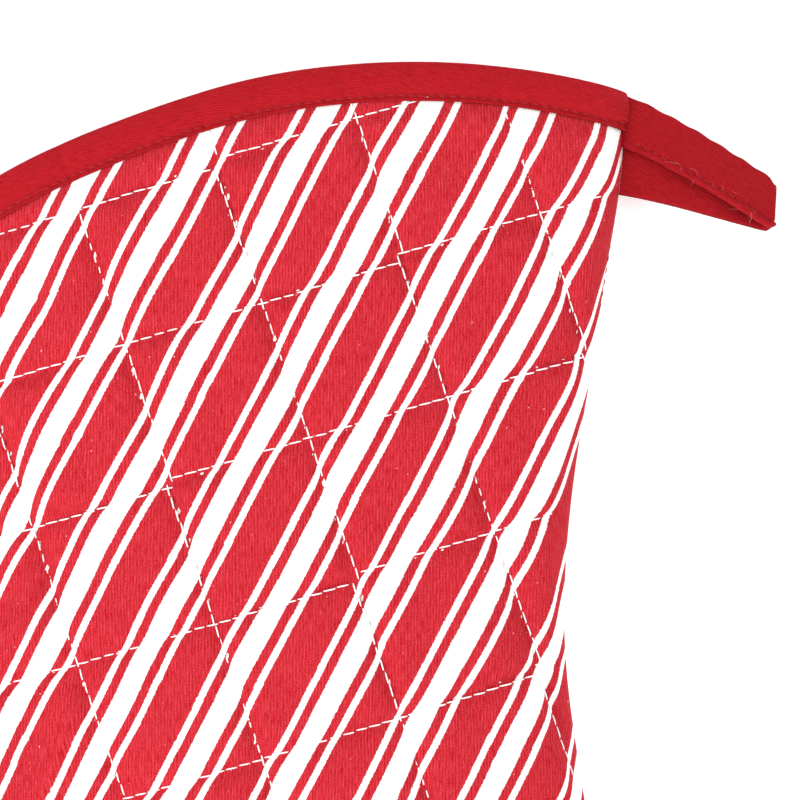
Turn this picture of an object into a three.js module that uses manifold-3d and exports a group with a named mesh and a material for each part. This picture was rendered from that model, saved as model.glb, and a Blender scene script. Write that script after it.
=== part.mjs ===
// A quilted cotton oven mitt with a bound cuff and a hanging loop, lying flat on its back.
// Millimetres. +Y runs from the fingertips to the cuff, +Z is up, and the thumb is on the -X side.
// The origin is on the flat underside, below the middle of the wrist.
// Each panel is a stack of closed layers: striped twill outside, wadding, lining.
import * as THREE from "three";
import { ParametricGeometry } from "three/addons/geometries/ParametricGeometry.js";
import { mergeVertices } from "three/addons/utils/BufferGeometryUtils.js";
import Module from "manifold-3d";

const wasm = await Module();
wasm.setup();

// Outline of the hand and cuff, seam to seam.
const cuffCrest = 146; // wrist line to the highest point of the cuff edge
const handLength = 184; // wrist line to fingertip
const cuffWidth = 182;
const wristWidth = 150;
const palmWidth = 156;
const palmShift = 5; // the palm's middle lies this far to the side away from the thumb
const palmReach = 80; // wrist line to the widest line of the palm
const cuffRadius = 214; // the cuff edge is one arc
const crestShift = 38; // the arc's crest from the middle of the wrist
const tipFullness = 2.3; // 2 is an ellipse, more is squarer

// Outline of the thumb.
const thumbWidth = 56;
const thumbLength = 142; // from inside the hand to the thumb's tip
const thumbTip = 30; // length of its rounded end
const thumbAngle = 45; // degrees from the hand's own direction
const thumbRoot = { x: -23, y: 12 };

// Heights. The side seam runs level, and the table flattens the back.
const seamHeight = 11;
const cuffRise = 20; // front of the cuff above the seam
const palmRise = 23;
const thumbRise = 17;
const backDrop = 18; // depth of the back's round sides, if nothing flattened them

// Cloth, wadding, tape and thread.
const shellThickness = 0.7;
const waddingThickness = 3.2;
const liningThickness = 0.6;
const threadThickness = 0.5;
const threadWidth = 1;
const seamRowWidth = 2;
const seamRowInset = 0.6;
const bindingThickness = 1;
const bindingWidth = 9.4;
const topstitchInset = 1.3; // from the binding's free edge
const quiltPitch = 38.1;
const quiltTurn = 18; // degrees
const quiltOrigin = { x: 32.9, y: 94.9 };
const quiltMargin = 3; // from the side seam, measured upwards

// Hanging loop, a tape doubled back on itself, with both ends sewn into the side seam.
const tapeWidth = 12.7; // along the side seam, where both ends are sewn in
const tapeThickness = 1.4;
const loopReach = 37; // from the side seam to the fold
const loopSlant = 21.5; // the fold lies this far below the upper end
const loopBelowCorner = 8.6; // from the cuff's corner to the middle of the upper end
const loopArch = 5; // rise of the upper leg above the seam
const foldRadius = 1.3;
const loopFloor = 0.5; // lowest point of the loop above the table
const loopSteps = 32; // along the tape, from end to end
const loopClearance = 0.7; // between the ends of the loop and the binding
const edgeStitchInset = 1.6;

const gap = 0.3; // between faces that touch on the real mitt
const far = 600; // longer than the mitt, for the solids that only cut
const cuffOverrun = 12; // the hand runs this far past the cuff edge before it is cut

const cuffCentre = { x: crestShift, y: cuffCrest - cuffRadius };
const cuffLift = 2 * gap + bindingThickness + threadThickness;

function solidFrom(geometry) {
  const bare = geometry.clone();
  bare.deleteAttribute("normal");
  bare.deleteAttribute("uv");
  const merged = mergeVertices(bare, 1e-4);
  const corners = merged.index.array;
  const kept = [];
  for (let i = 0; i < corners.length; i += 3) {
    const [a, b, c] = corners.subarray(i, i + 3);
    if (a !== b && b !== c && c !== a) kept.push(a, b, c);
  }
  const vertProperties = merged.attributes.position.array;
  return new wasm.Manifold(new wasm.Mesh({ numProp: 3, vertProperties, triVerts: new Uint32Array(kept) }));
}

function geometryFrom(solid) {
  const { numProp, numVert, vertProperties, triVerts } = solid.getMesh();
  const positions = new Float32Array(numVert * 3);
  for (let i = 0; i < numVert; i++) {
    positions.set(vertProperties.subarray(i * numProp, i * numProp + 3), i * 3);
  }
  const geometry = new THREE.BufferGeometry();
  geometry.setAttribute("position", new THREE.BufferAttribute(positions, 3));
  geometry.setIndex(new THREE.BufferAttribute(triVerts, 1));
  return geometry;
}

function unionOf(solids) {
  return solids.reduce((sum, solid) => sum.add(solid));
}

// The largest body of a solid, without the crumbs that a cut leaves beside it.
function largestBody(solid) {
  const bodies = solid.decompose();
  return bodies.reduce((best, body) => (body.volume() > best.volume() ? body : best));
}

// A closed surface through rings of points. The first and last rings are single points.
function closedLoft(ringCount, around, place) {
  return new ParametricGeometry(
    (u, v, target) => place(Math.round(v * ringCount), 2 * Math.PI * u, target),
    around,
    ringCount,
  );
}

// 0 before start, 1 after end, and smooth between.
function ease(value, start, end) {
  const share = THREE.MathUtils.clamp((value - start) / (end - start), 0, 1);
  return (1 - Math.cos(Math.PI * share)) / 2;
}

function cuffEdgeAt(x, radius = cuffRadius) {
  return cuffCentre.y + Math.sqrt(radius ** 2 - (x - cuffCentre.x) ** 2);
}

const cornerHeight = cuffEdgeAt(cuffWidth / 2);
const lowCornerHeight = cuffEdgeAt(-cuffWidth / 2);

function handHalfWidth(y) {
  const flare = ((cuffWidth - wristWidth) / 2) * ease(y, 0, cornerHeight);
  const palm = ((palmWidth - wristWidth) / 2) * ease(-y, 0, palmReach);
  return wristWidth / 2 + flare + palm;
}

// The cuff is lifted by the thickness of the binding under it.
function undersideAt(y) {
  const bindingFoot = lowCornerHeight - bindingWidth;
  return cuffLift * ease(y, bindingFoot - 30, bindingFoot - 4);
}

// Stations run from the open end to the tip. An inset shrinks the whole pod inwards.
function podStations({ start, bodyEnd, tipEnd, bodySteps, tipSteps, halfWidth, shift, rise, floor }, inset) {
  const stations = [];
  for (let i = 0; i <= bodySteps; i++) {
    const y = THREE.MathUtils.lerp(start, bodyEnd, i / bodySteps);
    stations.push({
      y,
      half: halfWidth(y) - inset,
      shift: shift(y),
      rise: rise(y) - inset,
      drop: backDrop - inset,
      floor: floor(y) + inset,
    });
  }
  const last = stations.at(-1);
  for (let i = 1; i <= tipSteps; i++) {
    const angle = (i / tipSteps) * (Math.PI / 2);
    const shrink = i === tipSteps ? 0 : Math.cos(angle) ** (2 / tipFullness);
    stations.push({
      ...last,
      y: bodyEnd - (bodyEnd - tipEnd - inset) * Math.sin(angle) ** (2 / tipFullness),
      half: last.half * shrink,
      rise: last.rise * shrink,
      drop: last.drop * shrink,
    });
  }
  return stations;
}

// Round above the seam, and flat below it where the table holds it up.
function sectionHeight(station, turn) {
  const lift = Math.sin(turn);
  if (lift >= 0) return seamHeight + station.rise * lift;
  return Math.max(station.floor, seamHeight + station.drop * lift);
}

function pod(shape, around, inset) {
  const stations = podStations(shape, inset);
  const first = stations[0];
  return closedLoft(stations.length, around, (ring, turn, target) => {
    if (ring === 0) {
      target.set(first.shift, first.y, seamHeight);
      return;
    }
    const station = stations[ring - 1];
    const x = station.shift + station.half * Math.cos(turn);
    target.set(x, station.y, sectionHeight(station, turn));
  });
}

const handShape = {
  start: cuffCrest + cuffOverrun,
  bodyEnd: -palmReach,
  tipEnd: -handLength,
  bodySteps: 8,
  tipSteps: 5,
  halfWidth: handHalfWidth,
  shift: (y) => palmShift * ease(-y, 0, palmReach),
  rise: (y) => THREE.MathUtils.lerp(palmRise, cuffRise, ease(y, -palmReach, cornerHeight)),
  floor: undersideAt,
};

const thumbShape = {
  start: 0,
  bodyEnd: thumbTip - thumbLength,
  tipEnd: -thumbLength,
  bodySteps: 2,
  tipSteps: 4,
  halfWidth: () => thumbWidth / 2,
  shift: () => 0,
  rise: () => thumbRise,
  floor: () => 0,
};

function hand(inset) {
  return solidFrom(pod(handShape, 20, inset));
}

function thumb(inset) {
  const turned = pod(thumbShape, 16, inset).rotateZ(THREE.MathUtils.degToRad(-thumbAngle));
  return solidFrom(turned.translate(thumbRoot.x, thumbRoot.y, 0));
}

// What lies between two insets of the whole mitt, hand and thumb together.
function layer(outerInset, innerInset) {
  const outside = hand(outerInset).add(thumb(outerInset));
  const inside = hand(innerInset).add(thumb(innerInset));
  return outside.subtract(inside);
}

function cuffLayer(outerInset, innerInset) {
  return hand(outerInset).subtract(hand(innerInset));
}

// Everything on the fingers' side of the cuff arc, or of an arc concentric with it.
function belowArc(radius) {
  const reach = (cuffWidth / 2 + cuffOverrun) * 1.2;
  const right = Math.acos((reach - cuffCentre.x) / radius);
  const left = Math.acos((-reach - cuffCentre.x) / radius);
  const outline = new THREE.Shape();
  outline.moveTo(-reach - far, -far);
  outline.lineTo(reach + far, -far);
  outline.lineTo(reach + far, cuffCentre.y + radius * Math.sin(right));
  outline.absarc(cuffCentre.x, cuffCentre.y, radius, right, left, false);
  outline.lineTo(-reach - far, cuffCentre.y + radius * Math.sin(left));
  const block = new THREE.ExtrudeGeometry(outline, { depth: far, bevelEnabled: false, curveSegments: 16 });
  return solidFrom(block.translate(0, 0, -far / 2));
}

function levelSlab(low, high) {
  const slab = new THREE.BoxGeometry(2 * far, 2 * far, high - low);
  return solidFrom(slab.translate(0, 0, (low + high) / 2));
}

const seamSlot = threadThickness + 2 * gap; // the row of seam stitches lies in it
const aboveSeam = levelSlab(seamHeight + seamSlot / 2, far);
const belowSeam = levelSlab(-far, seamHeight - seamSlot / 2);

// Insets of each layer's outer face, from the outside in.
const frontInsets = { shell: 0, wadding: shellThickness + gap };
frontInsets.lining = frontInsets.wadding + waddingThickness + gap;
const backInsets = { shell: 0, thread: shellThickness + gap };
backInsets.wadding = backInsets.thread + threadThickness + gap;
backInsets.lining = backInsets.wadding + waddingThickness + gap;
const innermost = backInsets.lining + liningThickness;

function panelLayers(insets, side) {
  const within = side.intersect(belowArc(cuffRadius));
  const cut = (inset, thickness) => layer(inset, inset + thickness).intersect(within);
  return {
    shell: cut(insets.shell, shellThickness),
    wadding: cut(insets.wadding, waddingThickness),
    lining: cut(insets.lining, liningThickness),
  };
}

// Two families of stitched rows that cross in squares.
function quiltLattice(rowWidth) {
  const rows = [];
  const count = Math.ceil((cuffCrest + handLength) / quiltPitch);
  for (const quarter of [0, 90]) {
    for (let i = -count; i <= count; i++) {
      const row = new THREE.BoxGeometry(far, rowWidth, far);
      row.translate(0, i * quiltPitch, 0);
      row.rotateZ(THREE.MathUtils.degToRad(quiltTurn + quarter));
      rows.push(solidFrom(row.translate(quiltOrigin.x, quiltOrigin.y, 0)));
    }
  }
  return unionOf(rows);
}

// A row that meets no other row inside the panel is left out.
function quiltingThread(outerInset, side) {
  const rows = quiltLattice(threadWidth).intersect(side);
  const field = belowArc(cuffRadius - bindingWidth - 2 * gap);
  return largestBody(layer(outerInset, outerInset + threadThickness).intersect(field).intersect(rows));
}

// A folded strip that wraps the raw edge of the cuff, outside and inside.
function cuffBinding() {
  const reach = gap + bindingThickness;
  const strip = cuffLayer(-reach, innermost + reach)
    .intersect(belowArc(cuffRadius + reach))
    .subtract(belowArc(cuffRadius - bindingWidth));
  const core = cuffLayer(-gap, innermost + gap).intersect(belowArc(cuffRadius + gap));
  return strip.subtract(core);
}

function bindingTopstitch(side) {
  const inner = -(2 * gap + bindingThickness);
  const rowEdge = cuffRadius - bindingWidth + topstitchInset;
  return cuffLayer(inner - threadThickness, inner)
    .intersect(belowArc(rowEdge + threadWidth / 2))
    .subtract(belowArc(rowEdge - threadWidth / 2))
    .intersect(side);
}

function sideSeamRow() {
  const slot = levelSlab(seamHeight - threadThickness / 2, seamHeight + threadThickness / 2);
  return layer(seamRowInset, seamRowInset + seamRowWidth).intersect(slot).intersect(belowArc(cuffRadius));
}

// The loop's two ends, in line with the side seam.
const upperEndY = cornerHeight - loopBelowCorner;
const lowerEndY = upperEndY - tapeWidth - 2 * gap;
const endOffset = gap + bindingThickness + loopClearance;
const upperEnd = new THREE.Vector3(handHalfWidth(upperEndY) + endOffset, upperEndY, seamHeight);
const lowerEnd = new THREE.Vector3(handHalfWidth(lowerEndY) + endOffset, lowerEndY, seamHeight);
const seamDirection = upperEnd.clone().sub(lowerEnd).normalize();

function loopPath() {
  const fold = new THREE.Vector3(handHalfWidth(upperEndY) + loopReach, upperEndY - loopSlant, 0);
  const lie = loopFloor + tapeThickness / 2;
  const at = (end, share, z) => {
    const point = end.clone().lerp(fold, share);
    point.z = z;
    return point;
  };
  return new THREE.CatmullRomCurve3([
    upperEnd,
    at(upperEnd, 0.25, seamHeight + loopArch * 0.8),
    at(upperEnd, 0.5, seamHeight + loopArch),
    at(upperEnd, 0.75, seamHeight + loopArch * 0.2),
    at(upperEnd, 0.94, lie + 2.6 * foldRadius),
    at(upperEnd, 1, lie + foldRadius),
    at(lowerEnd, 0.94, lie + 0.2),
    at(lowerEnd, 0.6, lie),
    at(lowerEnd, 0.3, lie + 1.8),
    lowerEnd,
  ]);
}

// A tape along the loop: a band of the given width, beside its middle and above its face.
function loopBand({ width, thickness, beside = 0, above = 0, firstStep = 0, lastStep = loopSteps }) {
  const path = loopPath();
  const stations = [];
  const steps = lastStep - firstStep;
  for (let i = firstStep; i <= lastStep; i++) {
    const t = i / loopSteps;
    const tangent = path.getTangent(t);
    const normal = tangent.clone().cross(seamDirection).normalize();
    const centre = path.getPoint(t).addScaledVector(seamDirection, beside).addScaledVector(normal, above);
    stations.push({ centre, normal });
  }
  const corners = [[1, 1], [-1, 1], [-1, -1], [1, -1]];
  const band = closedLoft(steps + 2, 4, (ring, turn, target) => {
    const end = ring === 0 || ring === steps + 2;
    const station = stations[THREE.MathUtils.clamp(ring - 1, 0, steps)];
    const [across, up] = end ? [0, 0] : corners[Math.round(turn / (Math.PI / 2)) % 4];
    target.copy(station.centre);
    target.addScaledVector(seamDirection, (across * width) / 2);
    target.addScaledVector(station.normal, (up * thickness) / 2);
  });
  return solidFrom(band);
}

function hangingLoop() {
  return loopBand({ width: tapeWidth, thickness: tapeThickness });
}

// One row of stitches along the lower edge of the upper leg, as far as the fold.
function loopEdgeStitch() {
  return loopBand({
    width: threadWidth / 2,
    thickness: threadThickness,
    beside: edgeStitchInset - tapeWidth / 2,
    above: -(tapeThickness / 2 + gap + threadThickness / 2),
    firstStep: 1,
    lastStep: loopSteps / 2 - 3,
  });
}

const twill = new THREE.MeshStandardMaterial({ color: 0xdc3344, roughness: 0.9, metalness: 0 });
const batting = new THREE.MeshStandardMaterial({ color: 0xf2efe6, roughness: 1, metalness: 0 });
const lining = new THREE.MeshStandardMaterial({ color: 0xf5f2ea, roughness: 0.92, metalness: 0 });
const redTape = new THREE.MeshStandardMaterial({ color: 0xc81f2c, roughness: 0.88, metalness: 0 });
const whiteThread = new THREE.MeshStandardMaterial({ color: 0xfbf6f2, roughness: 0.7, metalness: 0 });
const redThread = new THREE.MeshStandardMaterial({ color: 0xd2303c, roughness: 0.7, metalness: 0 });

const mitt = new THREE.Group();

function addPiece(name, solid, material, parent = mitt) {
  const mesh = new THREE.Mesh(geometryFrom(solid), material);
  mesh.name = name;
  parent.add(mesh);
}

const panels = [
  { name: "front", insets: frontInsets, side: aboveSeam },
  { name: "back", insets: backInsets, side: belowSeam },
];
for (const { name, insets, side } of panels) {
  const { shell, wadding, lining: inner } = panelLayers(insets, side);
  addPiece(`${name}_shell`, shell, twill);
  addPiece(`${name}_wadding`, wadding, batting);
  addPiece(`${name}_lining`, inner, lining);
}

// The front's quilting lies on the twill. The back's lies under it, so the mitt rests on twill.
const frontField = levelSlab(seamHeight + quiltMargin, far);
const backField = levelSlab(-far, seamHeight - quiltMargin);
addPiece("front_quilting_thread", quiltingThread(-gap - threadThickness, frontField), whiteThread);
addPiece("back_quilting_thread", quiltingThread(backInsets.thread, backField), whiteThread);

addPiece("cuff_binding", cuffBinding(), redTape);
addPiece("front_binding_topstitch", bindingTopstitch(levelSlab(seamHeight + 4, far)), redThread);
addPiece("back_binding_topstitch", bindingTopstitch(levelSlab(-far, seamHeight - 4)), redThread);
addPiece("side_seam_thread", sideSeamRow(), redThread);

// The loop swings about the line of its two ends.
const loop = new THREE.Group();
addPiece("hanging_loop", hangingLoop(), redTape, loop);
addPiece("loop_edge_stitch", loopEdgeStitch(), redThread, loop);
mitt.add(loop);

export default mitt;
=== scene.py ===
"""The looks of a quilted cotton oven mitt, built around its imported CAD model.

Everything is in metres in the model's own frame: +Y runs from the fingertips to the cuff, +Z is up, the
thumb is on the -X side and z = 0 is the table. Lengths are written in millimetres, as 9.4 * MM.

Each panel is a height field over the flat outline of the mitt: a low dome, with pillows between its
quilting rows. Cloth, wadding and lining are closed sheets at different depths below it.
"""

import math

import bpy
import numpy as np
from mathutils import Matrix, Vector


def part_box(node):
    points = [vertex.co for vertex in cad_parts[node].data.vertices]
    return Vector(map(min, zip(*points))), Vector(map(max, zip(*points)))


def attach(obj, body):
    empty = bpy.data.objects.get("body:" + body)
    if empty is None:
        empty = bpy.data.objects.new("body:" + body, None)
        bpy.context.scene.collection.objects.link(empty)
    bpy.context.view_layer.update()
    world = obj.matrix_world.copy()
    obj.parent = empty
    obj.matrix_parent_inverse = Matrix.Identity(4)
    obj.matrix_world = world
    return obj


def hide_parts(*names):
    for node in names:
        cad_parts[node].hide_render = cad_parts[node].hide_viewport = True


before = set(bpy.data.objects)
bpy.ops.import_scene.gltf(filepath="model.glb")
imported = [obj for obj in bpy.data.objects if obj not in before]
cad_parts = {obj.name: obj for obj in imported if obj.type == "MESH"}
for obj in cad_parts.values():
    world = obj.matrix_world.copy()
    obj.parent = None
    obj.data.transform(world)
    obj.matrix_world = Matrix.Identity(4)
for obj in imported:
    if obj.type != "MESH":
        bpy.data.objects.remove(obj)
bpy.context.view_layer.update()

MM = 0.001

# The mitt's outline, as the CAD model has it.
SHELL_LOW, SHELL_HIGH = (np.array(corner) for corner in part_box("front_shell"))
BACK_HIGH = np.array(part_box("back_shell")[1])
SEAM_Z = (SHELL_LOW[2] + BACK_HIGH[2]) / 2
CUFF_CREST = SHELL_HIGH[1]
FINGERTIP = -SHELL_LOW[1]
CUFF_WIDTH = 182 * MM
WRIST_WIDTH = 150 * MM
PALM_WIDTH = 156 * MM
PALM_SHIFT = 5 * MM
PALM_REACH = 80 * MM
CUFF_RADIUS = 225 * MM
CUFF_CENTRE = np.array([38 * MM, CUFF_CREST - 0.6 * MM - CUFF_RADIUS])
CUFF_SAG = 1.0 * MM  # the edge hangs a little short of the arc here
CUFF_SAG_PLACE = -38 * MM
CUFF_SAG_REACH = 25 * MM
TIP_FULLNESS = 2.3
THUMB_WIDTH = 56 * MM
THUMB_LENGTH = 142 * MM
THUMB_TIP = 30 * MM
THUMB_ANGLE = math.radians(45)
THUMB_ROOT = np.array([-23 * MM, 12 * MM])
CROTCH_FILLET = 22 * MM
SEAM_SWELL = 1.3 * MM  # the padded cloth stands out this far beyond the flat pattern

# Heights above and below the side seam, at the bottom of the quilting rows.
CUFF_RISE = 17 * MM
PALM_RISE = 20 * MM
THUMB_RISE = 14.5 * MM
BACK_DROP = 16 * MM
BACK_FLOOR = 1.8 * MM
CUFF_LIFT = 2.2 * MM

# Quilting: rows of running stitch that cross in squares, sewn in large steps of three squares.
QUILT_ORIGIN = np.array([32.9, 94.9]) * MM
QUILT_A = np.array([36.31, 11.52]) * MM
QUILT_B = np.array([12.04, -36.13]) * MM
QUILT_PITCH = float(np.linalg.norm(QUILT_A))
STEP_SQUARES = 3
CORNER_OVERLAP = np.array([1.2, -0.8]) * MM  # how far two needle rows pass at a shared corner
PILLOW_HEIGHT = 3.4 * MM
PILLOW_EDGE = 2.6 * MM  # how soon a pillow rises beside a row
PUCKER_REACH = 4.5 * MM  # the small folds beside a row fade over this distance
PUCKER_START = 0.8 * MM
STITCH_PITCH = 3.55 * MM
THREAD_RADIUS = 0.21 * MM
CLOTH_GATHERS = ((0.36 * MM, 6.0 * MM), (0.2 * MM, 1.4 * MM))  # how far stripes are drawn aside, and where
ROLL_EXCESS = 3.6 * MM  # cloth taken up by the roll down to the side seam
ROLL_REACH = 5.0 * MM

# Stripes of the twill, across one repeat from the middle of the wide white one.
STRIPE_ANGLE = math.radians(62.75)
STRIPE_REPEAT = 23.89 * MM
STRIPE_PHASE = -1.95 * MM
BACK_STRIPE_ANGLE = math.radians(85)
BACK_STRIPE_PLACE = np.array([89.8, 93.0]) * MM
WIDE_WHITE = 5.5 * MM
NARROW_RED = 2.38 * MM
NARROW_WHITE = 1.65 * MM
WALE_PITCH = 0.81 * MM

# Beside the cuff, the seam with the loop is drawn in and the back stands out past it from below.
SEAM_DRAW = 0.8 * MM
BACK_BULGE = 4.0 * MM
BULGE_START = 62 * MM
BULGE_END = 118 * MM

# Binding and loop.
BINDING_WIDTH = 9.4 * MM
BINDING_THICKNESS = 0.9 * MM
BINDING_FOLD = 1.2 * MM  # how far the fold passes the edge of the cloth
TOPSTITCH_INSET = 1.4 * MM
TOPSTITCH_PITCH = 2.7 * MM
TAPE_WIDTH = 14.0 * MM
TAPE_THICKNESS = 1.5 * MM
TAPE_TWILL_ANGLE = math.radians(-11)
EDGE_STITCH_INSET = 2.1 * MM
LOOP_CENTRE_LINE = (
    (90.0, 132.4, 10.8),
    (96.0, 130.4, 12.4),
    (105.0, 125.8, 12.6),
    (114.0, 120.9, 11.2),
    (123.0, 115.7, 8.2),
    (130.0, 111.6, 4.6),
    (133.0, 109.9, 2.9),
    (129.8, 110.4, 1.5),
    (118.0, 113.2, 6.6),
    (106.0, 116.2, 9.2),
    (97.0, 118.3, 9.6),
    (90.0, 119.6, 9.6),
)

# Layers, from the outside in.
CLOTH_THICKNESS = 0.7 * MM
WADDING_THICKNESS = 3.2 * MM
LINING_THICKNESS = 0.5 * MM
LAYER_GAP = 0.15 * MM
WADDING_INSET = 2.0 * MM  # from the outline of the twill
LINING_INSET = 4.0 * MM
STACK = CLOTH_THICKNESS + WADDING_THICKNESS + LINING_THICKNESS + 2 * LAYER_GAP

SEAM_STITCH_INSET = 0.9 * MM  # the side seam's thread lies this far inside the edge
LOOP_ROOT = np.array([80, 106]) * MM  # the side seam has no stitches beyond this, clear of the swinging loop

FINE = 1.0 * MM
COARSE = 2.5 * MM


def ease(value, start, end):
    """0 before start, 1 after end, and smooth between."""
    share = np.clip((value - start) / (end - start), 0, 1)
    return (1 - np.cos(np.pi * share)) / 2


def unit(vectors):
    return vectors / np.clip(np.linalg.norm(vectors, axis=-1, keepdims=True), 1e-12, None)


def waves(points, length, seed, count=9):
    """Smooth seeded variation over the plane, about -1 to 1, with features of about the given length."""
    rng = np.random.default_rng(seed)
    total = np.zeros(points.shape[:-1])
    for _ in range(count):
        angle = rng.uniform(0, 2 * np.pi)
        scale = 2 * np.pi / (length * rng.uniform(0.7, 1.5))
        direction = np.array([math.cos(angle), math.sin(angle)]) * scale
        total += np.sin(points @ direction + rng.uniform(0, 2 * np.pi))
    return total / math.sqrt(count)


# ---------------------------------------------------------------- outline


def hand_half_width(y):
    corner = CUFF_CENTRE[1] + math.sqrt(CUFF_RADIUS**2 - (CUFF_WIDTH / 2 - CUFF_CENTRE[0]) ** 2)
    flare = (CUFF_WIDTH - WRIST_WIDTH) / 2 * ease(y, 0, corner)
    palm = (PALM_WIDTH - WRIST_WIDTH) / 2 * ease(-y, 0, PALM_REACH)
    return WRIST_WIDTH / 2 + flare + palm + SEAM_SWELL


def depth_in_pod(across, along, half_width, body_end, tip_length):
    """Distance inside a pod's outline, about. The pod ends in a rounded tip past body_end."""
    side = np.abs(across) / half_width
    tip = np.clip((along - body_end) / tip_length, 0, None)
    level = (side**TIP_FULLNESS + tip**TIP_FULLNESS) ** (1 / TIP_FULLNESS)
    return (1 - level) * half_width


def hand_depth(points):
    x, y = points[..., 0], points[..., 1]
    shift = PALM_SHIFT * ease(-y, 0, PALM_REACH)
    tip_length = FINGERTIP + 0.5 * SEAM_SWELL - PALM_REACH
    return depth_in_pod(x - shift, -y, hand_half_width(y), PALM_REACH, tip_length)


def thumb_depth(points):
    out = np.array([-math.sin(THUMB_ANGLE), -math.cos(THUMB_ANGLE)])
    side = np.array([-out[1], out[0]])
    local = points - THUMB_ROOT
    half = THUMB_WIDTH / 2 + SEAM_SWELL
    depth = depth_in_pod(local @ side, local @ out, half, THUMB_LENGTH - THUMB_TIP, THUMB_TIP)
    return np.minimum(depth, local @ out + half)


def pod_depths(points):
    """Depths inside hand and thumb, both raised where they meet so that the outline has a soft crotch."""
    hand, thumb = hand_depth(points), thumb_depth(points)
    nearness = np.clip(1 - np.abs(hand - thumb) / CROTCH_FILLET, 0, None)
    raised = CROTCH_FILLET / 4 * nearness**2
    return hand + raised, thumb + raised


def outline_depth(points):
    return np.maximum(*pod_depths(points))


def cuff_depth(points):
    """Distance below the cuff edge."""
    sag = CUFF_SAG * np.exp(-(((points[..., 0] - CUFF_SAG_PLACE) / CUFF_SAG_REACH) ** 2))
    return CUFF_RADIUS - sag - np.linalg.norm(points - CUFF_CENTRE, axis=-1)


def gradient(field, points, step=0.05 * MM):
    dx = field(points + [step, 0]) - field(points - [step, 0])
    dy = field(points + [0, step]) - field(points - [0, step])
    return np.stack([dx, dy], axis=-1) / (2 * step)


# ---------------------------------------------------------------- quilting


def lattice(points):
    """Coordinates in squares along the two directions of the rows."""
    basis = np.linalg.inv(np.stack([QUILT_A, QUILT_B], axis=1))
    return (points - QUILT_ORIGIN) @ basis.T


def from_rows(points):
    """Signed distances to the nearest row of each family, along A and along B."""
    squares = lattice(points)
    return (squares - np.round(squares)) * QUILT_PITCH


def quilting_relief(points):
    """Height of the pillows above the rows: steep beside a row, nearly flat in the middle."""
    distance = np.abs(from_rows(points))
    rise = 1 - np.exp(-distance / PILLOW_EDGE)
    swell = 1 - (distance / (QUILT_PITCH / 2)) ** 2
    pillow = rise[..., 0] * rise[..., 1] * (0.72 + 0.28 * swell[..., 0] * swell[..., 1])
    return PILLOW_HEIGHT * pillow


def puckers(points):
    """Small folds that run away from the rows, and the dip of each stitch."""
    squares = lattice(points)
    distance = np.abs(from_rows(points))
    total = np.zeros(points.shape[:-1])
    for across, along in ((0, 1), (1, 0)):
        place = squares[..., along] * QUILT_PITCH
        row = np.round(squares[..., across])
        away = distance[..., across]
        near = np.exp(-away / PUCKER_REACH) * (1 - np.exp(-away / PUCKER_START))
        fold = np.sin(place / (1.45 * MM) + 2.1 * row + 1.3 * np.sin(place / (6.1 * MM) + row))
        total += 0.16 * MM * near * fold
        dip = np.exp(-((distance[..., across] / (0.9 * MM)) ** 2))
        total -= 0.18 * MM * dip * np.cos(2 * np.pi * place / STITCH_PITCH)
    return total


def cloth_place(points):
    """Where a point of the cloth lay before it was quilted, which is what its stripes follow."""
    offset = from_rows(points)
    uneven = 0.85 + 0.4 * waves(points, 30 * MM, 7)[..., None]
    drawn = np.zeros(offset.shape)
    for amount, reach in CLOTH_GATHERS:
        share = np.abs(offset) / reach
        drawn += np.sign(offset) * amount * share * np.exp(1 - share) * uneven
    shift = drawn[..., :1] * QUILT_A / QUILT_PITCH + drawn[..., 1:] * QUILT_B / QUILT_PITCH
    drift = np.stack([waves(points, 45 * MM, 3), waves(points, 45 * MM, 4)], axis=-1)
    rolled = ROLL_EXCESS * np.exp(-np.clip(outline_depth(points), 0, None) / ROLL_REACH)
    away = -unit(gradient(outline_depth, points, 0.5 * MM))
    return points + shift + 0.28 * MM * drift + away * rolled[..., None]


def back_cloth_place(points):
    """The back is cut on another slant, so that its stripes run along the side seam next to the cuff."""
    turn = BACK_STRIPE_ANGLE - STRIPE_ANGLE
    turned = np.array([[math.cos(turn), math.sin(turn)], [-math.sin(turn), math.cos(turn)]])
    across = np.array([math.sin(STRIPE_ANGLE), -math.cos(STRIPE_ANGLE)])
    return (cloth_place(points) - BACK_STRIPE_PLACE) @ turned.T + STRIPE_PHASE * across


# ---------------------------------------------------------------- panel surfaces


def dome(depth, reach):
    """Quarter ellipse: 0 at the outline, 1 at the reach and beyond."""
    share = np.clip(depth / reach, 0, 1)
    return np.sqrt(1 - (1 - share) ** 2)


def blend_heights(a, b):
    return (a**6 + b**6) ** (1 / 6)


def cuff_zone(points):
    """1 along the cuff, where the binding flattens the pillows and lifts the mitt, and 0 away from it."""
    return 1 - ease(cuff_depth(points), BINDING_WIDTH - 1 * MM, BINDING_WIDTH + 6 * MM)


def front_base(points):
    hand, thumb = pod_depths(points)
    y = points[..., 1]
    rise = PALM_RISE + (CUFF_RISE - PALM_RISE) * ease(y, -PALM_REACH, CUFF_CREST)
    crown = rise * dome(hand, hand_half_width(y))
    return SEAM_Z + blend_heights(crown, THUMB_RISE * dome(thumb, THUMB_WIDTH / 2))


def back_base(points):
    hand, thumb = pod_depths(points)
    hull = blend_heights(BACK_DROP * dome(hand, WRIST_WIDTH / 2), BACK_DROP * dome(thumb, THUMB_WIDTH / 2))
    floor = BACK_FLOOR + CUFF_LIFT * (1 - ease(cuff_depth(points), 14 * MM, 40 * MM))
    softness = 2 * MM
    gap = SEAM_Z - hull - floor
    return floor + softness * np.logaddexp(0, gap / softness)


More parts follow.
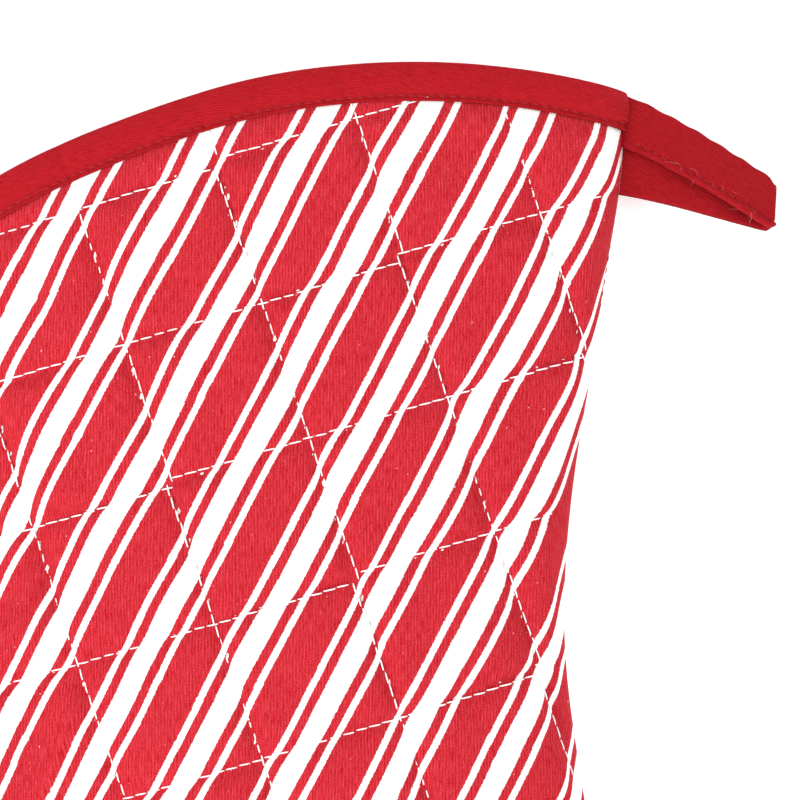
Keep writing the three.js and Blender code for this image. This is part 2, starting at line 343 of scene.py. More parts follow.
class Panel:
    """One side of the mitt. The outward side is +1 for the front and -1 for the back."""

    def __init__(self, name, base, side, cloth):
        self.name = name
        self.base = base
        self.side = side
        self.cloth = cloth

    def bulge(self, points):
        """How far the panel's edge stands out in x beside the cuff."""
        y = points[..., 1]
        middle = (BULGE_START + BULGE_END) / 2
        along = ease(y, BULGE_START, middle) * (1 - ease(y, middle, BULGE_END))
        depth = np.clip(outline_depth(points), 0, None)
        near = np.exp(-depth / (7 * MM)) * (points[..., 0] > 40 * MM)
        rounded = BACK_BULGE * (1 - np.exp(-depth / (1.3 * MM))) if self.side < 0 else 0
        return (rounded - SEAM_DRAW) * along * near

    def relief(self, points):
        edge = ease(outline_depth(points), 0, 7 * MM)
        quilting = (quilting_relief(points) + puckers(points)) * edge
        wrinkle = 0.35 * MM * waves(points, 26 * MM, 11 if self.side > 0 else 12) * edge
        flattened = 1 - 0.75 * cuff_zone(points)
        return (quilting + wrinkle) * flattened

    def outward(self, points):
        slope = gradient(self.base, points, 0.4 * MM) * self.side
        steepness = np.clip(np.linalg.norm(slope, axis=-1, keepdims=True), 1e-9, None)
        slope *= np.minimum(steepness, 2.5) / steepness
        normal = np.concatenate([-slope, np.ones(slope.shape[:-1] + (1,))], axis=-1)
        normal /= np.linalg.norm(normal, axis=-1, keepdims=True)
        return normal * [1, 1, self.side]

    def surface(self, points, inset=0.0):
        """Points of the panel's outer face, or of a face that lies inset below it."""
        seat = np.concatenate([points, self.base(points)[..., None]], axis=-1)
        lift = self.relief(points) * np.where(np.asarray(inset) > 2 * CLOTH_THICKNESS, -0.5, 1.0)
        placed = seat + self.outward(points) * (lift - inset)[..., None]
        placed[..., 0] += self.bulge(points)
        if self.side < 0:
            placed[..., 2] = np.maximum(placed[..., 2], np.maximum(inset, 0))
        return placed


FRONT = Panel("front", front_base, 1, cloth_place)
BACK = Panel("back", back_base, -1, back_cloth_place)


# ---------------------------------------------------------------- meshes


def make_object(name, vertices, faces, material, body="mitt", smooth=True):
    mesh = bpy.data.meshes.new(name)
    mesh.from_pydata(vertices.tolist(), [], faces)
    mesh.validate()
    mesh.materials.append(material)
    if smooth:
        mesh.shade_smooth()
    piece = bpy.data.objects.new(name, mesh)
    bpy.context.scene.collection.objects.link(piece)
    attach(piece, body)
    return piece


def give_cloth_place(piece, places):
    """Stores each vertex's place on the flat cloth, in millimetres, for the weave and the stripes."""
    layer = piece.data.attributes.new("cloth", "FLOAT_VECTOR", "POINT")
    flat = np.zeros((len(places), 3), np.float32)
    flat[:, :2] = places / MM
    layer.data.foreach_set("vector", flat.ravel())


def rim_of(quads):
    """Directed edges that belong to one quad only."""
    edges = np.concatenate([quads[:, [i, (i + 1) % 4]] for i in range(4)])
    keys = {(a, b) for a, b in edges.tolist()}
    return np.array([[a, b] for a, b in edges.tolist() if (b, a) not in keys])


def move_onto(points, field, target):
    """The points, moved along the field's slope to where it has the target value."""
    slope = gradient(field, points)
    length = np.clip((slope**2).sum(-1), 0.2, None)
    return points - slope * ((field(points) - target) / length)[..., None]


def panel_grid(spacing, inset):
    """Points and quads that fill the outline, with the outermost points moved onto it."""
    xs = np.arange(SHELL_LOW[0] - 4 * MM, SHELL_HIGH[0] + 4 * MM, spacing)
    ys = np.arange(SHELL_LOW[1] - 4 * MM, SHELL_HIGH[1] + 4 * MM, spacing)
    points = np.stack(np.meshgrid(xs, ys, indexing="ij"), axis=-1)
    for field in (outline_depth, cuff_depth):
        near = np.abs(field(points) - inset) < spacing * 0.6
        points[near] = move_onto(points[near], field, inset)
    inside = np.minimum(outline_depth(points), cuff_depth(points)) - inset > -spacing * 0.3
    cell = inside[:-1, :-1] & inside[1:, :-1] & inside[1:, 1:] & inside[:-1, 1:]
    number = np.arange(points.shape[0] * points.shape[1]).reshape(points.shape[:2])
    corners = [number[:-1, :-1], number[1:, :-1], number[1:, 1:], number[:-1, 1:]]
    quads = np.stack([corner[cell] for corner in corners], axis=-1)
    used, quads = np.unique(quads, return_inverse=True)
    points, quads = points.reshape(-1, 2)[used], quads.reshape(-1, 4)
    rim = np.unique(rim_of(quads))
    for _ in range(3):
        by_cuff = np.abs(cuff_depth(points[rim]) - inset) < np.abs(outline_depth(points[rim]) - inset)
        for field, chosen in ((cuff_depth, rim[by_cuff]), (outline_depth, rim[~by_cuff])):
            points[chosen] = move_onto(points[chosen], field, inset)
    return points, quads


def closed_sheet(name, panel, spacing, outline_inset, top_inset, thickness, material):
    """A closed sheet of the panel: outer face, inner face, and a narrow wall round the rim."""
    points, quads = panel_grid(spacing, outline_inset)
    outer = panel.surface(points, top_inset)
    inner = panel.surface(points, top_inset + thickness)
    count = len(points)
    rim = rim_of(quads)
    wall = np.stack([rim[:, 1], rim[:, 0], rim[:, 0] + count, rim[:, 1] + count], axis=-1)
    faces = np.concatenate([quads, quads[:, ::-1] + count, wall])
    if panel.side < 0:
        faces = faces[:, ::-1]
    piece = make_object(name, np.concatenate([outer, inner]), faces.tolist(), material)
    give_cloth_place(piece, np.tile(panel.cloth(points), (2, 1)))
    return piece


def facing_out(vertices, faces):
    """The faces of a closed skin, turned round if they face inwards."""
    volume = 0.0
    for size in {len(face) for face in faces}:
        corners = vertices[np.array([face for face in faces if len(face) == size])]
        for step in range(1, size - 1):
            volume += (corners[:, 0] * np.cross(corners[:, step], corners[:, step + 1])).sum()
    return faces if volume > 0 else [face[::-1] for face in faces]


def skin_over(rings, closed=False):
    """Vertices and faces over rings of points. An open run of rings gets a cap at each end."""
    count, sides = rings.shape[:2]
    number = np.arange(count * sides).reshape(count, sides)
    here = number if closed else number[:-1]
    ahead = np.roll(number, -1, axis=0) if closed else number[1:]
    quads = np.stack([here, np.roll(here, -1, axis=1), np.roll(ahead, -1, axis=1), ahead], axis=-1)
    faces = quads.reshape(-1, 4).tolist()
    if not closed:
        faces += [number[0][::-1].tolist(), number[-1].tolist()]
    return rings.reshape(-1, 3), faces


def tube_rings(centres, normals, radii, sides=6, flatness=0.85):
    """Rings round each run of centres. centres is (runs, stations, 3) and radii is (stations,)."""
    ahead = unit(np.gradient(centres, axis=1))
    beside = unit(np.cross(ahead, normals))
    turn = np.arange(sides) / sides * 2 * np.pi
    spread = beside[:, :, None] * np.cos(turn)[:, None]
    spread = spread + flatness * unit(normals)[:, :, None] * np.sin(turn)[:, None]
    return centres[:, :, None] + spread * radii[None, :, None, None]


def join_runs(groups):
    """One mesh from many separate short runs of rings, each group shaped (runs, stations, sides, 3)."""
    runs = np.concatenate([group for group in groups if len(group)])
    points, skin = skin_over(runs[0])
    skin = facing_out(points, skin)
    starts = range(0, len(runs) * len(points), len(points))
    faces = [[index + start for index in face] for start in starts for face in skin]
    return runs.reshape(-1, 3), faces


def running_stitch(centres, normals, places, pitch, share, radius, seed):
    """Rings of the stitches along one row: each rises out of its hole, lies on the cloth and dips again."""
    rng = np.random.default_rng(seed)
    numbers = np.arange(math.ceil(places[0] / pitch), math.floor(places[-1] / pitch))
    if not len(numbers):
        return np.zeros((0, 7, 6, 3))
    stations = np.linspace(-0.5, 0.5, 7)
    lengths = share * rng.uniform(0.9, 1.06, (len(numbers), 1))
    along = (numbers[:, None] + 0.5 + lengths * stations) * pitch
    row = np.stack([np.interp(along, places, centres[:, i]) for i in range(3)], axis=-1)
    up = unit(np.stack([np.interp(along, places, normals[:, i]) for i in range(3)], axis=-1))
    beside = unit(np.cross(np.gradient(row, axis=1), up))
    arch = np.array([-0.4, 0.9, 1.3, 1.4, 1.3, 0.9, -0.4]) * radius
    slant = rng.normal(0, 0.35, (len(numbers), 1)) * radius + 1.1 * radius * stations
    row = row + up * arch[:, None] + beside * slant[..., None]
    radii = radius * np.array([0.55, 0.9, 1, 1, 1, 0.9, 0.55])
    return tube_rings(row, up, radii)


# ---------------------------------------------------------------- materials


class Nodes:
    """A short hand for building one material's node tree."""

    def __init__(self, name):
        self.material = bpy.data.materials.new(name)
        self.material.use_nodes = True
        self.tree = self.material.node_tree
        self.shader = self.tree.nodes["Principled BSDF"]

    def add(self, kind, **settings):
        node = self.tree.nodes.new(kind)
        for key, value in settings.items():
            setattr(node, key, value)
        return node

    def link(self, source, target):
        self.tree.links.new(source, target)

    def feed(self, value, socket):
        if isinstance(value, bpy.types.NodeSocket):
            self.link(value, socket)
        else:
            socket.default_value = value

    def math(self, operation, first, second=0.0, third=None):
        node = self.add("ShaderNodeMath", operation=operation)
        self.feed(first, node.inputs[0])
        self.feed(second, node.inputs[1])
        if third is not None:
            self.feed(third, node.inputs[2])
        return node.outputs[0]

    def noise(self, vector, scale, detail=2.0, roughness=0.5):
        node = self.add("ShaderNodeTexNoise")
        self.link(vector, node.inputs["Vector"])
        node.inputs["Scale"].default_value = scale
        node.inputs["Detail"].default_value = detail
        node.inputs["Roughness"].default_value = roughness
        return node.outputs["Fac"]

    def mapping(self, vector, scale=(1, 1, 1), angle=0.0, location=(0, 0, 0)):
        node = self.add("ShaderNodeMapping")
        self.link(vector, node.inputs["Vector"])
        node.inputs["Scale"].default_value = scale
        node.inputs["Rotation"].default_value = (0, 0, angle)
        node.inputs["Location"].default_value = location
        return node.outputs["Vector"]

    def split(self, vector):
        node = self.add("ShaderNodeSeparateXYZ")
        self.link(vector, node.inputs[0])
        return node.outputs

    def grey(self, value):
        node = self.add("ShaderNodeCombineColor")
        for channel in node.inputs:
            self.feed(value, channel)
        return node.outputs[0]

    def mix(self, factor, first, second, blend="MIX"):
        node = self.add("ShaderNodeMix", data_type="RGBA", blend_type=blend)
        self.feed(factor, node.inputs["Factor"])
        self.feed(first, node.inputs[6])
        self.feed(second, node.inputs[7])
        return node.outputs[2]

    def step(self, value, edge, softness):
        """0 below the edge and 1 above it, over the given softness."""
        node = self.add("ShaderNodeMapRange", interpolation_type="SMOOTHSTEP")
        self.feed(value, node.inputs["Value"])
        node.inputs["From Min"].default_value = edge - softness
        node.inputs["From Max"].default_value = edge + softness
        return node.outputs["Result"]

    def bump(self, height, distance, strength=1.0):
        node = self.add("ShaderNodeBump")
        self.link(height, node.inputs["Height"])
        node.inputs["Distance"].default_value = distance
        node.inputs["Strength"].default_value = strength
        self.link(node.outputs["Normal"], self.shader.inputs["Normal"])


def weave(nodes, place, pitch, angle):
    """Twill wales of the given pitch, each a row of slanting floats. Returns height and thread tone."""
    turned = nodes.mapping(place, angle=angle)
    across, along, _ = nodes.split(turned)
    wobble = nodes.math("MULTIPLY", nodes.noise(turned, 0.9), 0.25 * pitch)
    line = nodes.math("ADD", across, wobble)
    ridge = nodes.math("SINE", nodes.math("MULTIPLY", line, 2 * math.pi / pitch))
    slant = nodes.math("ADD", nodes.math("MULTIPLY", line, 0.8), along)
    floats = nodes.math("SINE", nodes.math("MULTIPLY", slant, 2 * math.pi / (pitch * 0.8)))
    height = nodes.math("MULTIPLY_ADD", floats, 0.3, ridge)
    streaks = nodes.noise(nodes.mapping(turned, scale=(2.4, 0.3, 1)), 1.0, 3.0, 0.7)
    grain = nodes.noise(turned, 2.5, 3.0, 0.75)
    mixed = nodes.math("ADD", nodes.math("MULTIPLY", streaks, 0.5), nodes.math("MULTIPLY", grain, 0.5))
    return height, nodes.step(mixed, 0.5, 0.16)


def finish_cloth(nodes, roughness, sheen, sheen_tint):
    shader = nodes.shader
    shader.inputs["Roughness"].default_value = roughness
    shader.inputs["Sheen Weight"].default_value = sheen
    shader.inputs["Sheen Roughness"].default_value = 0.5
    shader.inputs["Sheen Tint"].default_value = sheen_tint
    shader.inputs["Specular IOR Level"].default_value = 0.08


def cloth_attribute(nodes):
    return nodes.add("ShaderNodeAttribute", attribute_name="cloth").outputs["Vector"]


def striped_twill():
    nodes = Nodes("striped_twill")
    place = cloth_attribute(nodes)
    pitch = WALE_PITCH / MM
    height, tone = weave(nodes, place, pitch, 0.0)

    # Stripes, with edges that step from wale to wale.
    jitter = nodes.noise(nodes.mapping(place, scale=(1.3, 0.9, 1)), 1.6, 3.0, 0.75)
    turned = nodes.mapping(place, angle=math.pi / 2 - STRIPE_ANGLE)
    across = nodes.split(turned)[0]
    jagged = nodes.math("MULTIPLY_ADD", nodes.math("SUBTRACT", jitter, 0.5), 0.9, across)
    repeat = STRIPE_REPEAT / MM
    shifted = nodes.math("SUBTRACT", jagged, STRIPE_PHASE / MM)
    centred = nodes.math("ABSOLUTE", nodes.math("WRAP", shifted, repeat / 2, -repeat / 2))
    wide = WIDE_WHITE / 2 / MM
    inner = wide + NARROW_RED / MM
    outer = inner + NARROW_WHITE / MM
    soft = 0.12
    beyond_wide = nodes.step(centred, wide, soft)
    in_narrow = nodes.math("MULTIPLY", nodes.step(centred, inner, soft), nodes.math(
        "SUBTRACT", 1.0, nodes.step(centred, outer, soft)))
    red_share = nodes.math("SUBTRACT", beyond_wide, in_narrow)

    deep = nodes.mix(tone, (0.38, 0.001, 0.005, 1), (0.60, 0.044, 0.062, 1))
    ridge_light = nodes.math("MULTIPLY_ADD", height, 0.16, 0.94)
    lit = nodes.mix(1.0, deep, nodes.grey(ridge_light), "MULTIPLY")
    pale = nodes.mix(tone, (0.86, 0.85, 0.84, 1), (0.93, 0.925, 0.92, 1))
    colour = nodes.mix(red_share, pale, lit)
    specks = nodes.step(nodes.noise(nodes.mapping(place, scale=(1.0, 0.7, 1)), 1.1, 1.0), 0.79, 0.03)
    colour = nodes.mix(nodes.math("MULTIPLY", specks, 0.55), colour, (0.95, 0.8, 0.8, 1))
    nodes.link(colour, nodes.shader.inputs["Base Color"])
    nodes.bump(height, 0.06 * MM, 0.6)
    finish_cloth(nodes, 0.95, 0.0, (1.0, 0.85, 0.85, 1))
    return nodes.material


def plain_cloth(name, dark, light, pitch, angle, depth, sheen_tint, roughness=0.9, sheen=0.03):
    nodes = Nodes(name)
    place = cloth_attribute(nodes)
    height, tone = weave(nodes, place, pitch, angle)
    colour = nodes.mix(tone, dark, light)
    shade = nodes.grey(nodes.math("MULTIPLY_ADD", height, 0.15, 0.95))
    nodes.link(nodes.mix(1.0, colour, shade, "MULTIPLY"), nodes.shader.inputs["Base Color"])
    nodes.bump(height, depth, 0.8)
    finish_cloth(nodes, roughness, sheen, sheen_tint)
    return nodes.material


def thread_material(name, dark, light):
    nodes = Nodes(name)
    place = nodes.add("ShaderNodeTexCoord").outputs["Object"]
    fine = nodes.noise(place, 2600.0, 2.0)
    nodes.link(nodes.mix(fine, dark, light), nodes.shader.inputs["Base Color"])
    nodes.bump(fine, 0.05 * MM, 0.5)
    finish_cloth(nodes, 0.7, 0.2, (1, 1, 1, 1))
    return nodes.material


TWILL = striped_twill()
TAPE_CLOTH = {
    "pitch": 0.62,
    "angle": math.radians(90) - TAPE_TWILL_ANGLE,
    "depth": 0.08 * MM,
    "sheen_tint": (1.0, 0.7, 0.7, 1),
}
RED_TAPE = plain_cloth("red_tape", (0.32, 0.004, 0.007, 1), (0.47, 0.012, 0.020, 1), **TAPE_CLOTH)
# The loop's tape is the same red tape as the binding, made darker as painted shade.
SHADED_LOOP_TAPE = plain_cloth("loop_tape", (0.24, 0.003, 0.005, 1), (0.42, 0.010, 0.017, 1), **TAPE_CLOTH)
LINING = plain_cloth(
    "lining", (0.78, 0.76, 0.70, 1), (0.88, 0.86, 0.80, 1), 0.6, 0.0, 0.06 * MM, (1, 1, 1, 1),
)
WADDING = plain_cloth(
    "wadding", (0.80, 0.79, 0.75, 1), (0.92, 0.91, 0.88, 1), 2.2, 0.4, 0.3 * MM, (1, 1, 1, 1), 1.0, 0.3,
)
WHITE_THREAD = thread_material("white_thread", (0.88, 0.87, 0.85, 1), (0.97, 0.96, 0.95, 1))
FIBRE = thread_material("fibre", (0.55, 0.07, 0.09, 1), (0.70, 0.22, 0.24, 1))
RED_THREAD = thread_material("red_thread", (0.26, 0.004, 0.008, 1), (0.46, 0.016, 0.026, 1))


# ---------------------------------------------------------------- camera, light and floor


def make_camera():
    """Straight above the loop's side of the cuff, with a long lens."""
    data = bpy.data.cameras.new("camera")
    data.lens = 150
    data.sensor_width = 36
    width = 209.4 * MM
    subject_height = 28 * MM
    camera = bpy.data.objects.new("camera", data)
    camera.location = (32.46 * MM, 57.6 * MM, subject_height + width * data.lens / data.sensor_width)
    data.clip_start = 0.01
    bpy.context.scene.collection.objects.link(camera)
    bpy.context.scene.camera = camera


def make_lights():
    world = bpy.data.worlds.new("studio")
    world.use_nodes = True
    background = world.node_tree.nodes["Background"]
    background.inputs["Color"].default_value = (1, 1, 1, 1)
    background.inputs["Strength"].default_value = 1.0
    bpy.context.scene.world = world
    for name, place, size, power in (
        ("key", (-0.75, -0.80, 0.85), 0.5, 15),
        ("fill", (0.6, 0.6, 1.1), 1.0, 5),
    ):
        data = bpy.data.lights.new(name, "AREA")
        data.size = size
        data.energy = power
        light = bpy.data.objects.new(name, data)
        light.location = place
        aim = np.array([0.02, 0.04, 0.01]) - np.array(place)
        light.rotation_mode = "QUATERNION"
        light.rotation_quaternion = Vector(aim).to_track_quat("-Z", "Y")
        bpy.context.scene.collection.objects.link(light)


def make_floor():
    bpy.ops.mesh.primitive_plane_add(size=8, location=(0, 0, -0.05 * MM))
    floor = bpy.context.object
    floor.name = "floor"
    nodes = Nodes("floor")
    place = nodes.add("ShaderNodeTexCoord").outputs["Object"]
    tone = nodes.mix(nodes.noise(place, 3.0), (0.93, 0.93, 0.93, 1), (0.95, 0.95, 0.95, 1))
    nodes.link(tone, nodes.shader.inputs["Base Color"])
    nodes.shader.inputs["Roughness"].default_value = 0.95
    nodes.shader.inputs["Emission Color"].default_value = (1, 1, 1, 1)
    nodes.shader.inputs["Emission Strength"].default_value = 0.35
    floor.data.materials.append(nodes.material)


make_camera()
make_lights()
make_floor()
bpy.context.scene.view_settings.view_transform = "Standard"


# ---------------------------------------------------------------- panels


def declare_cut(outline_inset):
    points, quads = panel_grid(COARSE, outline_inset)


def make_panel(panel):
    """The panel's three layers, from the twill inwards, each in place of one CAD node."""
    under_twill = CLOTH_THICKNESS + LAYER_GAP
    under_wadding = under_twill + WADDING_THICKNESS + LAYER_GAP
    layers = (
        ("twill", FINE, 0.0, 0.0, CLOTH_THICKNESS, TWILL, "striped_twill", "shell"),
        ("wadding_pad", COARSE, WADDING_INSET, under_twill, WADDING_THICKNESS, WADDING, "wadding", "wadding"),
        ("lining_cloth", COARSE, LINING_INSET, under_wadding, LINING_THICKNESS, LINING, "lining", "lining"),
    )
    for label, spacing, outline_inset, depth, thickness, material, slot, node in layers:
        name = f"{panel.name}_{label}"
        piece = closed_sheet(name, panel, spacing, outline_inset, depth, thickness, material)
        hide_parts(f"{panel.name}_{node}")
        if label == "wadding_pad":
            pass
        else:
            declare_cut(outline_inset)


make_panel(FRONT)
make_panel(BACK)


# ---------------------------------------------------------------- stitching


def quilting_legs():
    """Ends of each straight leg of the needle rows, in plan. A corner joins a leg along A to one along B."""
    legs = []
    for i in range(-14, 15):
        for j in range(-14, 15):
            if (i - j) % STEP_SQUARES:
                continue
            corner = QUILT_ORIGIN + i * QUILT_A + j * QUILT_B
            turn = corner - CORNER_OVERLAP
            legs.append((turn, corner + STEP_SQUARES * QUILT_A + CORNER_OVERLAP, 0, i, j))
            legs.append((turn, corner + STEP_SQUARES * QUILT_B + CORNER_OVERLAP, 1, i, j))
    return legs


def quilted_area(points):
    """Where quilting stitches show: inside the seam and clear of the binding's fold."""
    return (outline_depth(points) > 2.2 * MM) & (cuff_depth(points) > BINDING_WIDTH - 2 * MM)


def make_quilting(panel):
    groups = []
    for number, (start, end, family, i, j) in enumerate(quilting_legs()):
        first = (i, j)[family] * QUILT_PITCH
        share = np.linspace(0, 1, 230)
        plan = start + share[:, None] * (end - start)
        places = first + share * np.linalg.norm(end - start)
        shown = quilted_area(plan)
        breaks = np.flatnonzero(np.diff(shown.astype(int))) + 1
        for run in np.split(np.arange(len(plan)), breaks):
            if len(run) < 8 or not shown[run[0]]:
                continue
            centres = panel.surface(plan[run])
            normals = panel.outward(plan[run])
            row = running_stitch(centres, normals, places[run], STITCH_PITCH, 0.94, THREAD_RADIUS, number)
            groups.append(row)
    piece = make_object(f"{panel.name}_quilting_stitches", *join_runs(groups), WHITE_THREAD)
    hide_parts(f"{panel.name}_quilting_thread")


def seam_path():
    """The side seam in plan, in order from one corner of the cuff round to the other."""
    points, quads = panel_grid(FINE, 0.0)
    follow = dict(rim_of(quads).tolist())
    start = next(iter(follow))
    order = [start]
    while follow[order[-1]] != start:
        order.append(follow[order[-1]])
    loop = points[order]
    for _ in range(4):
        loop = (np.roll(loop, 1, axis=0) + 2 * loop + np.roll(loop, -1, axis=0)) / 4
    on_cuff = cuff_depth(loop) < BINDING_WIDTH
    first = np.flatnonzero(on_cuff & ~np.roll(on_cuff, -1))[0] + 1
    loop = np.roll(loop, -first, axis=0)
    return loop[~np.roll(on_cuff, -first)]


def make_side_seam():
    path = seam_path()
    away = -unit(gradient(outline_depth, path, 0.5 * MM))
    centres = np.column_stack([path - SEAM_STITCH_INSET * away, np.full(len(path), SEAM_Z)])
    normals = np.column_stack([away, np.zeros(len(path))])
    steps = np.linalg.norm(np.diff(path, axis=0), axis=1)
    places = np.concatenate([[0], np.cumsum(steps)])
    rings = running_stitch(centres, normals, places, 3.2 * MM, 0.7, 0.16 * MM, 5)
    middle = rings.mean(axis=(1, 2))
    beside_loop = (middle[:, :2] > LOOP_ROOT).all(axis=1)
    rings = rings[~beside_loop]
    piece = make_object("side_seam_stitches", *join_runs([rings]), RED_THREAD)
    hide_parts("side_seam_thread")


# ---------------------------------------------------------------- cuff binding


def cuff_point(across, depth):
    """Plan point below the cuff edge. across runs from -1 to 1 between the side seams."""
    across, depth = np.broadcast_arrays(across, depth)
    x = across * CUFF_WIDTH / 2
    for _ in range(5):
        sag = CUFF_SAG * np.exp(-(((x - CUFF_SAG_PLACE) / CUFF_SAG_REACH) ** 2))
        y = CUFF_CENTRE[1] + np.sqrt((CUFF_RADIUS - sag - depth) ** 2 - (x - CUFF_CENTRE[0]) ** 2)
        x = across * hand_half_width(y)
    return np.stack([x, y], axis=-1)


def binding_swell(depth, place):
    """Height of the binding's outer leg above the cloth: a soft roll, held down by the topstitch."""
    row = BINDING_WIDTH - TOPSTITCH_INSET
    roll = 0.9 * MM * np.sin(np.pi * np.clip(depth / row, 0, 1)) ** 0.8
    groove = 0.75 * MM * np.exp(-(((depth - row) / (0.6 * MM)) ** 2))
    holes = np.cos(2 * np.pi * place / TOPSTITCH_PITCH)
    hole = 0.12 * MM * holes * np.exp(-(((depth - row) / MM) ** 2))
    creases = np.sin(place / (1.9 * MM) + 2 * np.sin(place / (9 * MM)))
    crease = 0.10 * MM * creases * np.clip(depth / row, 0, 1)
    return BINDING_THICKNESS + roll - groove - hole + crease


def binding_section(panel, across, place):
    """One section: down the outer leg, round the fold, down the inner leg, and back along its inside."""
    fold = np.linspace(0, np.pi, 11)[1:-1, None]
    beyond = np.append(unit(cuff_point(across, 0) - CUFF_CENTRE), 0)
    depths = np.linspace(BINDING_WIDTH, 0, 26)
    outer = panel.surface(cuff_point(across, depths), -binding_swell(depths, place))
    inner = panel.surface(cuff_point(across, depths[::3]), STACK + BINDING_THICKNESS)
    outer_back = panel.surface(cuff_point(across, depths), -0.05 * MM)
    inner_back = panel.surface(cuff_point(across, depths[::3]), STACK + 0.05 * MM)
    for leg in (inner, inner_back):
        clear = SEAM_Z + panel.side * 0.3 * MM
        leg[:, 2] = np.maximum(leg[:, 2], clear) if panel.side > 0 else np.minimum(leg[:, 2], clear)

    def round_edge(start, end, reach):
        middle, half = (start + end) / 2, (start - end) / 2
        return middle + half * np.cos(fold) + beyond * reach * np.sin(fold) ** 0.8

    outer_fold = round_edge(outer[-1], inner[-1], BINDING_FOLD)
    inner_fold = round_edge(inner_back[-1], outer_back[-1], BINDING_FOLD - BINDING_THICKNESS)
    return np.concatenate([outer, outer_fold, inner[::-1], inner_back, inner_fold, outer_back[::-1]])


def make_binding():
    turn = np.linspace(-1, 1, 340)
    across = np.sin(turn * np.pi / 2) * 0.35 + turn * 0.65
    edge = cuff_point(across, 0)
    places = np.concatenate([[0], np.cumsum(np.linalg.norm(np.diff(edge, axis=0), axis=1))])
    front = [binding_section(FRONT, c, s) for c, s in zip(across, places)]
    back = [binding_section(BACK, c, s) for c, s in zip(across[::-1], places[::-1])]
    rings = np.array(front + back)
    vertices, faces = skin_over(rings, closed=True)
    piece = make_object("cuff_binding_tape", vertices, facing_out(vertices, faces), RED_TAPE)
    girth = np.linalg.norm(np.diff(rings, axis=1), axis=2)
    wound = np.concatenate([np.zeros((len(rings), 1)), np.cumsum(girth, axis=1)], axis=1)
    runs = np.concatenate([places, places[-1] + 4 * MM + places])
    flat = np.stack([np.repeat(runs[:, None], wound.shape[1], axis=1), wound], axis=-1)
    give_cloth_place(piece, flat.reshape(-1, 2))
    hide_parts("cuff_binding")
    for panel in (FRONT, BACK):
        make_topstitch(panel, across[3:-3], places[3:-3])


def make_topstitch(panel, across, places):
    depth = BINDING_WIDTH - TOPSTITCH_INSET
    plan = cuff_point(across, depth)
    lift = binding_swell(np.full(len(places), depth), places)
    centres = panel.surface(plan, -lift)
    rings = running_stitch(centres, panel.outward(plan), places, TOPSTITCH_PITCH, 0.78, 0.2 * MM, 8)
    piece = make_object(f"{panel.name}_topstitches", *join_runs([rings]), RED_THREAD)
    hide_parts(f"{panel.name}_binding_topstitch")


# ---------------------------------------------------------------- hanging loop


def smooth_path(controls, count):
    """Points of a curve through the controls."""
    controls = np.array(controls)
    padded = np.concatenate([[2 * controls[0] - controls[1]], controls, [2 * controls[-1] - controls[-2]]])
    place = np.linspace(0, len(controls) - 1 - 1e-9, count)
    number = place.astype(int)
    t = (place - number)[:, None]
    a, b, c, d = (padded[number + step] for step in range(4))
    return 0.5 * (2 * b + (c - a) * t + (2 * a - 5 * b + 4 * c - d) * t**2 + (3 * b - a - 3 * c + d) * t**3)


class Tape:
    """The hanging loop's tape, from its upper end round the fold to its lower end."""

    def __init__(self, count=220):
        line = smooth_path(LOOP_CENTRE_LINE, 2400) * MM
        length = np.concatenate([[0], np.cumsum(np.linalg.norm(np.diff(line, axis=0), axis=1))])
        self.places = np.linspace(0, length[-1], count)
        self.centres = np.stack([np.interp(self.places, length, line[:, i]) for i in range(3)], axis=-1)
        ahead = unit(np.gradient(self.centres, axis=0))
        self.beside = np.tile(unit(np.array([0.02, 1.0, 0.0])), (count, 1))
        self.out = unit(np.cross(ahead, self.beside))

    def thickness(self, side, out):
        """Half thickness at a place across the tape: its hem is a roll beyond a stitched groove."""
        from_hem = (side + 1) * TAPE_WIDTH / 2
        roll = 0.42 * MM * np.exp(-(((from_hem - 1.0 * MM) / (0.75 * MM)) ** 2))
        groove = 0.40 * MM * np.exp(-(((from_hem - EDGE_STITCH_INSET) / (0.4 * MM)) ** 2))
        return TAPE_THICKNESS / 2 + (roll - groove if out > 0 else 0)

    def point(self, side, lift):
        """Points along the tape at a place across it, from -1 at the hem to 1, and a lift above its face."""
        bump = 0.16 * MM * np.sin(self.places / (1.2 * MM)) * max(side, 0) ** 4
        from_fold = self.centres[:, 0] - self.centres[:, 0].max()
        bump -= np.sign(side) * 1.3 * MM * side**2 * np.exp(-((from_fold / MM) ** 2))
        ripple = 0.12 * MM * np.sin(self.places / (4.1 * MM) + 2.4 * side)
        across = self.beside * (side * TAPE_WIDTH / 2 + bump)[:, None]
        return self.centres + across + self.out * (lift + ripple)[:, None]


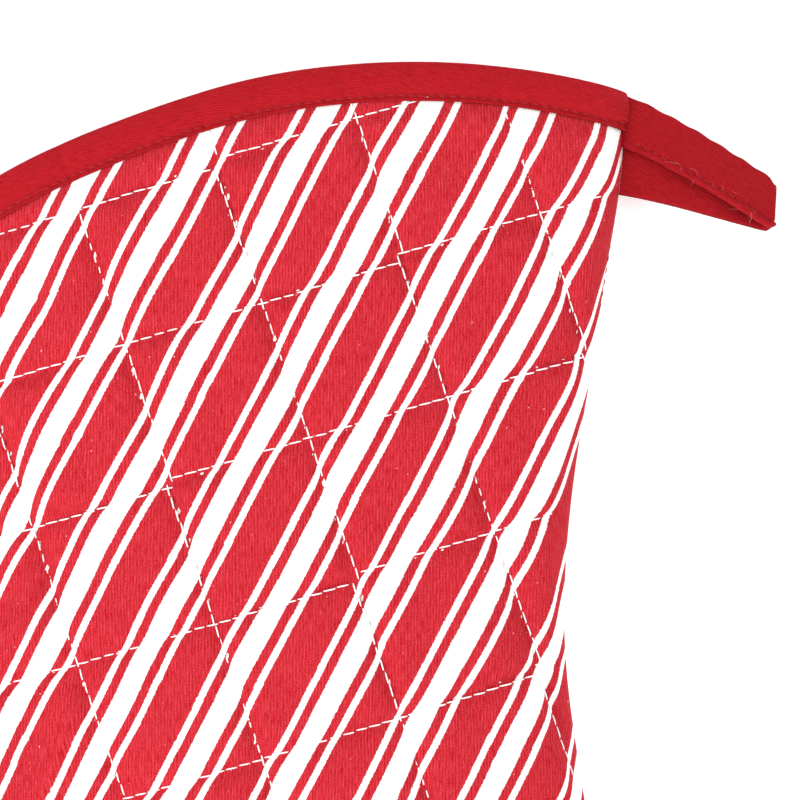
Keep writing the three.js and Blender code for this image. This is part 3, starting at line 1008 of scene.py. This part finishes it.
def make_loop():
    tape = Tape()
    turns = np.concatenate([np.linspace(0, 1, 30), np.linspace(1, 0, 30)])
    outs = np.concatenate([np.ones(30), -np.ones(30)])
    columns, places_across = [], []
    for share, out in zip(turns, outs):
        side = -math.cos(math.pi * share) * 0.55 + (2 * share - 1) * 0.45
        edge = math.sqrt(max(1 - abs(side) ** 14, 0.0))
        columns.append(tape.point(side, out * tape.thickness(side, out) * edge))
        places_across.append(side * TAPE_WIDTH / 2)
    rings = np.stack(columns, axis=1)
    keep = [i for i in range(len(turns)) if i not in (30, 59)]
    rings = rings[:, keep]
    vertices, faces = skin_over(rings)
    piece = make_object("hanging_loop_tape", vertices, facing_out(vertices, faces), SHADED_LOOP_TAPE, "loop")
    run = np.repeat(tape.places[:, None], len(keep), axis=1) * outs[keep]
    flat = np.stack([run, np.tile(np.array(places_across)[keep], (len(run), 1))], axis=-1)
    give_cloth_place(piece, flat.reshape(-1, 2))
    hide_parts("hanging_loop")

    side = 2 * EDGE_STITCH_INSET / TAPE_WIDTH - 1
    row = tape.point(side, tape.thickness(side, 1))
    upper = slice(8, 104)
    rings = running_stitch(row[upper], tape.out[upper], tape.places[upper], 2.6 * MM, 0.78, 0.17 * MM, 6)
    piece = make_object("loop_edge_stitches", *join_runs([rings]), RED_THREAD, "loop")
    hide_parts("loop_edge_stitch")
    make_fibres(tape)


def make_fibres(tape):
    """Loose pale fibres that stand off the hem of the loop's upper leg."""
    rng = np.random.default_rng(21)
    runs = []
    for _ in range(13):
        station = rng.integers(14, 100)
        side = -1 + 2 * rng.uniform(0.02, 0.3)
        root = tape.point(side, tape.thickness(side, 1))[station]
        heading = rng.uniform(-2.9, -0.2)
        length = rng.uniform(2.0, 6.0) * MM
        curl = rng.uniform(-1.6, 1.6)
        share = np.linspace(0, 1, 7)
        turning = heading + curl * share
        steps = np.column_stack([np.cos(turning), 0.6 * np.sin(turning), 0.12 * np.sin(np.pi * share)])
        runs.append(root + np.cumsum(steps, axis=0) * length / 7)
    runs = np.array(runs)
    ups = np.tile(np.array([0, 0, 1.0]), runs.shape[:2] + (1,))
    radii = 0.035 * MM * np.array([1, 1, 1, 0.9, 0.8, 0.6, 0.4])
    rings = tube_rings(runs, ups, radii)
    piece = make_object("loop_fibres", *join_runs([rings]), FIBRE, "loop")


make_quilting(FRONT)
make_quilting(BACK)
make_side_seam()
make_binding()
make_loop()
